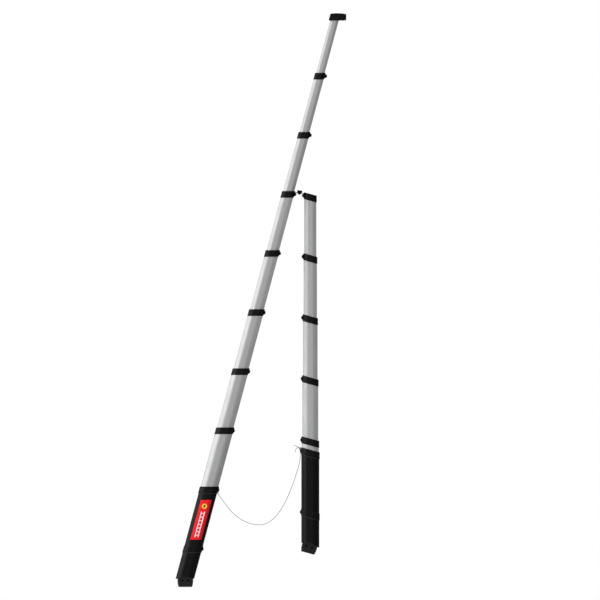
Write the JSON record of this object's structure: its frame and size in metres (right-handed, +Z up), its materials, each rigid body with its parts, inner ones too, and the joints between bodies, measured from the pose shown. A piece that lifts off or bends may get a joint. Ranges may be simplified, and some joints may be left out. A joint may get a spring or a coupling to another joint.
{
  "type": "telescopic combination ladder",
  "caption": "Telescopic combination ladder standing as a stair ladder: leaning front ladder, shorter rear ladder hinged to it, with restraint cords.",
  "frame": {"origin": "on the ground, midway along the ladder's overall length and on its middle plane", "axes": "+Z up, +X from the front ladder towards the rear ladder, +Y to the climber's left along the rungs"},
  "size_m": [0.837, 0.5244, 2.8136],
  "materials": {
    "aluminium": "satin anodised",
    "black_coat": "fine matt black coating",
    "black_plastic": "fine-textured moulding",
    "shoe_rubber": "matt",
    "steel": "zinc plated",
    "button_plastic": "satin",
    "cord": "braided"
  },
  "bodies": {
    "front_base": {"front_base_stile_left": "black_coat", "front_base_stile_right": "black_coat", "front_foot_left": "shoe_rubber", "front_foot_right": "shoe_rubber", "front_rung_1": "black_plastic", "front_rung_2": "black_plastic", "restraint_cord_left": "cord", "restraint_cord_right": "cord"},
    "front_section_1": {"front_stile_1_left": "aluminium", "front_stile_1_right": "aluminium", "front_rung_3": "black_plastic"},
    "front_section_2": {"front_stile_2_left": "aluminium", "front_stile_2_right": "aluminium", "front_rung_4": "black_plastic"},
    "front_section_3": {"front_stile_3_left": "aluminium", "front_stile_3_right": "aluminium", "front_rung_5": "black_plastic"},
    "front_section_4": {"front_stile_4_left": "aluminium", "front_stile_4_right": "aluminium", "front_rung_6": "black_plastic"},
    "front_section_5": {"front_stile_5_left": "aluminium", "front_stile_5_right": "aluminium", "front_rung_7": "black_plastic", "hinge_front_leaf": "steel", "hinge_axle": "steel"},
    "front_section_6": {"front_stile_6_left": "aluminium", "front_stile_6_right": "aluminium", "front_rung_8": "black_plastic"},
    "front_section_7": {"front_stile_7_left": "aluminium", "front_stile_7_right": "aluminium", "front_rung_9": "black_plastic"},
    "front_section_8": {"front_stile_8_left": "aluminium", "front_stile_8_right": "aluminium", "front_rung_10": "black_plastic"},
    "rear_section_5": {"rear_stile_5_left": "aluminium", "rear_stile_5_right": "aluminium", "rear_rung_7": "black_plastic", "hinge_rear_leaf": "steel"},
    "rear_section_4": {"rear_stile_4_left": "aluminium", "rear_stile_4_right": "aluminium", "rear_rung_6": "black_plastic"},
    "rear_section_3": {"rear_stile_3_left": "aluminium", "rear_stile_3_right": "aluminium", "rear_rung_5": "black_plastic"},
    "rear_section_2": {"rear_stile_2_left": "aluminium", "rear_stile_2_right": "aluminium", "rear_rung_4": "black_plastic"},
    "rear_section_1": {"rear_stile_1_left": "aluminium", "rear_stile_1_right": "aluminium", "rear_rung_3": "black_plastic"},
    "rear_base": {"rear_base_stile_left": "black_coat", "rear_base_stile_right": "black_coat", "rear_foot_left": "shoe_rubber", "rear_foot_right": "shoe_rubber", "rear_rung_1": "black_plastic", "rear_rung_2": "black_plastic"},
    "front_button_left": {"front_release_button_left": "button_plastic"},
    "front_button_right": {"front_release_button_right": "button_plastic"},
    "rear_button_left": {"rear_release_button_left": "button_plastic"},
    "rear_button_right": {"rear_release_button_right": "button_plastic"}
  },
  "joints": [
    {"name": "front_slide_1", "type": "slide", "parent": "front_base", "child": "front_section_1", "axis": [0.2588, 0, 0.9659], "range_m": [-0.2455, 0]},
    {"name": "front_slide_2", "type": "slide", "parent": "front_section_1", "child": "front_section_2", "axis": [0.2588, 0, 0.9659], "range_m": [-0.2455, 0]},
    {"name": "front_slide_3", "type": "slide", "parent": "front_section_2", "child": "front_section_3", "axis": [0.2588, 0, 0.9659], "range_m": [-0.2455, 0]},
    {"name": "front_slide_4", "type": "slide", "parent": "front_section_3", "child": "front_section_4", "axis": [0.2588, 0, 0.9659], "range_m": [-0.2455, 0]},
    {"name": "front_slide_5", "type": "slide", "parent": "front_section_4", "child": "front_section_5", "axis": [0.2588, 0, 0.9659], "range_m": [-0.2455, 0]},
    {"name": "front_slide_6", "type": "slide", "parent": "front_section_5", "child": "front_section_6", "axis": [0.2588, 0, 0.9659], "range_m": [-0.2455, 0]},
    {"name": "front_slide_7", "type": "slide", "parent": "front_section_6", "child": "front_section_7", "axis": [0.2588, 0, 0.9659], "range_m": [-0.2455, 0]},
    {"name": "front_slide_8", "type": "slide", "parent": "front_section_7", "child": "front_section_8", "axis": [0.2588, 0, 0.9659], "range_m": [-0.2455, 0]},
    {"name": "rear_fold", "type": "hinge", "parent": "front_section_5", "child": "rear_section_5", "pos_m": [0.18904, 0, 1.93409], "axis": [0, -1, 0], "range_deg": [-15, 11], "deforming": ["restraint_cord_left", "restraint_cord_right"]},
    {"name": "rear_slide_5", "type": "slide", "parent": "rear_section_5", "child": "rear_section_4", "axis": [0, 0, 1], "range_m": [0, 0.2455]},
    {"name": "rear_slide_4", "type": "slide", "parent": "rear_section_4", "child": "rear_section_3", "axis": [0, 0, 1], "range_m": [0, 0.2455]},
    {"name": "rear_slide_3", "type": "slide", "parent": "rear_section_3", "child": "rear_section_2", "axis": [0, 0, 1], "range_m": [0, 0.2455]},
    {"name": "rear_slide_2", "type": "slide", "parent": "rear_section_2", "child": "rear_section_1", "axis": [0, 0, 1], "range_m": [0, 0.2455]},
    {"name": "rear_slide_1", "type": "slide", "parent": "rear_section_1", "child": "rear_base", "axis": [0, 0, -1], "range_m": [0, 0.2455]},
    {"name": "front_release_left", "type": "slide", "parent": "front_base", "child": "front_button_left", "axis": [0, -1, 0], "range_m": [0, 0.009], "stiffness_N_per_m": 400, "springref_m": -0.004},
    {"name": "front_release_right", "type": "slide", "parent": "front_base", "child": "front_button_right", "axis": [0, 1, 0], "range_m": [0, 0.009], "stiffness_N_per_m": 400, "springref_m": -0.004},
    {"name": "rear_release_left", "type": "slide", "parent": "rear_base", "child": "rear_button_left", "axis": [0, -1, 0], "range_m": [0, 0.009], "stiffness_N_per_m": 400, "springref_m": -0.004},
    {"name": "rear_release_right", "type": "slide", "parent": "rear_base", "child": "rear_button_right", "axis": [0, 1, 0], "range_m": [0, 0.009], "stiffness_N_per_m": 400, "springref_m": -0.004}
  ]
}
